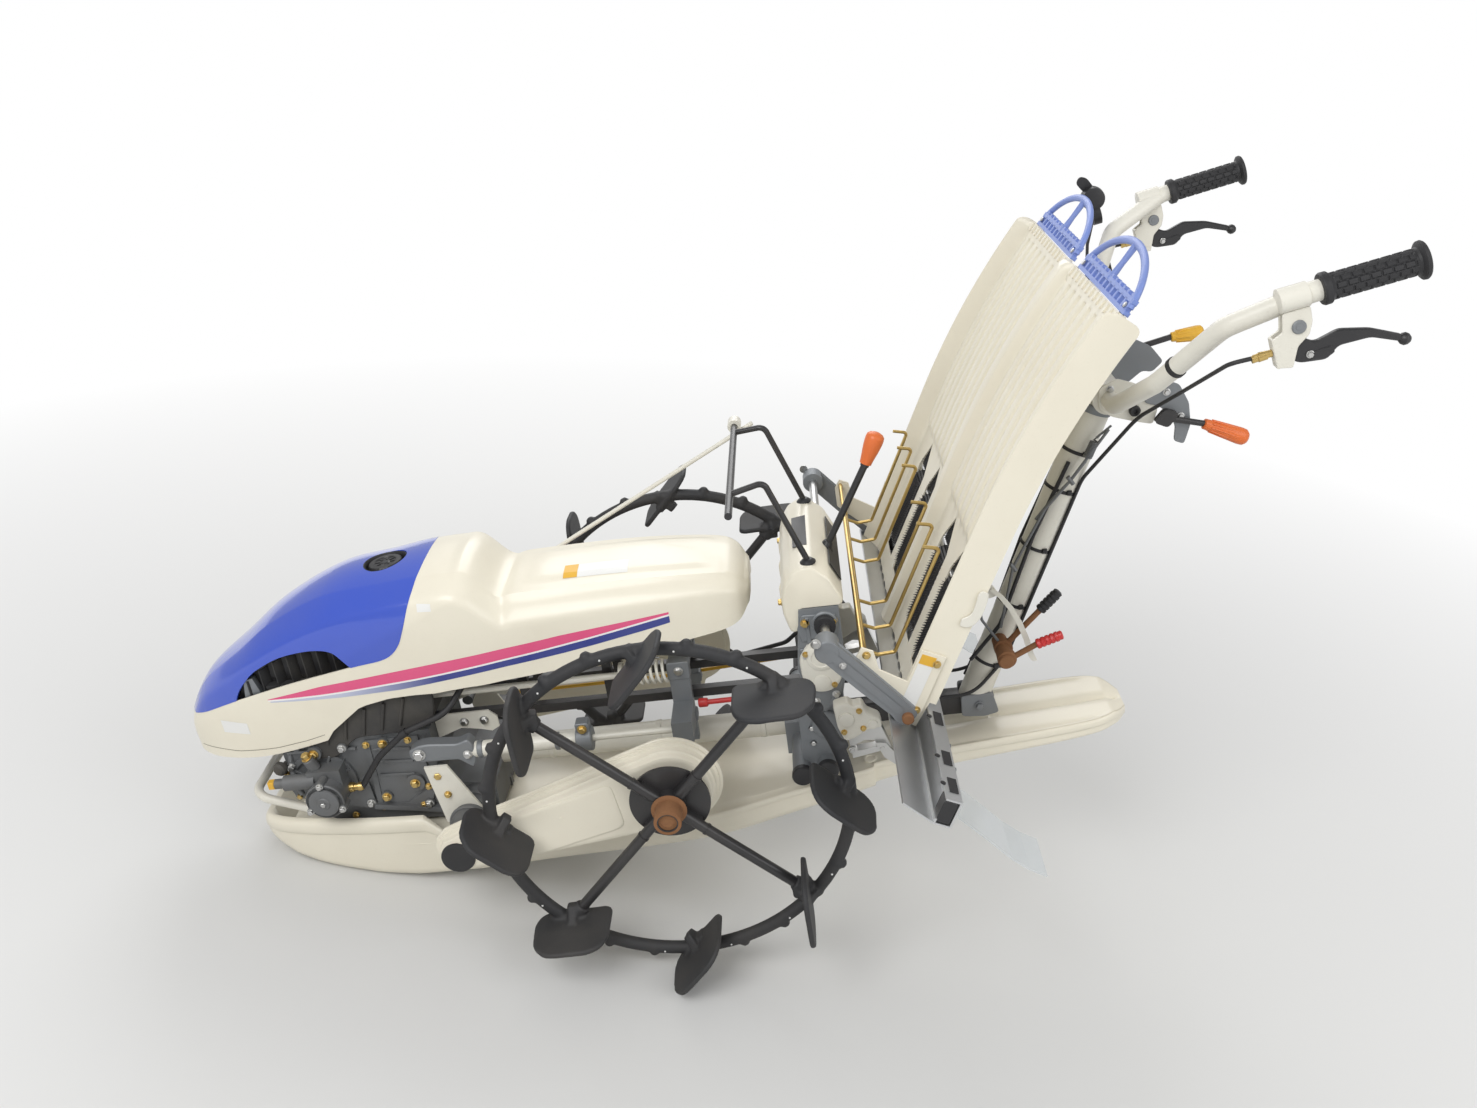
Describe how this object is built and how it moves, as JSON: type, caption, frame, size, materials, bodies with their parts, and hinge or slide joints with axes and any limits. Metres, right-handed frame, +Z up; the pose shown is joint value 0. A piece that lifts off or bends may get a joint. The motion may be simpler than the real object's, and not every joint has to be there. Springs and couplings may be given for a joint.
{
  "type": "walk-behind rice transplanter",
  "caption": "Walk-behind rice transplanter: petrol engine under a hood, lugged ring wheels on swing cases, central float, sliding seedling tray and a forked handlebar.",
  "frame": {"origin": "on the floor, under the middle of the whole machine as it stands parked", "axes": "+X forward, the way the machine drives; +Y to its left; +Z up"},
  "size_m": [1.7994, 0.956, 1.3119],
  "materials": {
    "lug_rubber": "dusty black rubber",
    "black_rubber": "satin black rubber",
    "cream_plastic": "aged cream plastic",
    "blue_plastic": "glossy blue plastic",
    "pale_blue_plastic": "faded blue plastic",
    "black_plastic": "matte black plastic",
    "cream_paint": "cream paint with some rust",
    "grey_paint": "grey paint",
    "black_steel": "black paint",
    "grey_casting": "grey casting",
    "dark_casting": "dark casting",
    "bright_steel": "bright steel with light rust",
    "gold_steel": "yellow zinc plate",
    "rail_aluminium": "dull aluminium",
    "clear_plastic": "clear plastic sheet, slightly yellowed"
  },
  "bodies": {
    "machine": {"swing_case_left": "cream_paint", "swing_case_right": "cream_paint", "pivot_caps": "black_plastic", "float": "cream_plastic", "float_stay": "cream_paint", "hood_cap": "blue_plastic", "hood_body": "cream_plastic", "fuel_cap": "black_plastic", "engine": "dark_casting", "gearbox": "grey_casting", "front_guard": "cream_paint", "pivot_brackets": "cream_paint", "lift_arm": "grey_paint", "lift_rod": "cream_paint", "main_tube": "cream_paint", "side_rails": "black_steel", "arch_bracket": "grey_paint", "coil_spring": "cream_paint", "planting_case": "grey_paint", "case_covers": "cream_paint", "shaft_boots": "black_rubber", "planting_arms": "cream_paint", "planting_claws": "bright_steel", "unit_cover": "cream_plastic", "bail": "black_steel", "marker_rod": "cream_paint", "shift_lever": "black_steel", "slide_rail": "rail_aluminium", "rail_stays": "black_steel", "rear_beam": "black_steel", "column": "cream_paint", "handle_head": "cream_paint", "handlebar": "cream_paint", "grips": "black_rubber", "lever_brackets": "cream_paint", "clutch_levers": "black_plastic", "control_plates": "cream_paint", "control_levers": "black_steel", "side_levers": "black_steel", "belt_cover": "black_plastic", "link_plates": "cream_paint", "control_cables": "black_rubber", "oil_hose": "black_rubber", "side_guards": "clear_plastic"},
    "wheel_left": {"wheel_left_tyre": "lug_rubber", "wheel_left_hub": "black_steel", "wheel_left_axle": "bright_steel"},
    "wheel_right": {"wheel_right_tyre": "lug_rubber", "wheel_right_hub": "black_steel", "wheel_right_axle": "bright_steel"},
    "seedling_tray": {"tray": "cream_plastic", "feed_belts": "black_rubber", "belt_shafts": "bright_steel", "mat_wires": "gold_steel", "mat_stoppers": "pale_blue_plastic", "feed_shaft": "bright_steel", "feed_arms": "grey_paint"}
  },
  "joints": [
    {"name": "wheel_left_spin", "type": "hinge", "parent": "machine", "child": "wheel_left", "pos_m": [0.0307, 0.3, 0.32936], "axis": [0, 1, 0], "continuous": true},
    {"name": "wheel_right_spin", "type": "hinge", "parent": "machine", "child": "wheel_right", "pos_m": [0.0307, -0.3, 0.32936], "axis": [0, 1, 0], "continuous": true},
    {"name": "tray_slide", "type": "slide", "parent": "machine", "child": "seedling_tray", "axis": [0, 1, 0], "range_m": [-0.02, 0.244]}
  ]
}
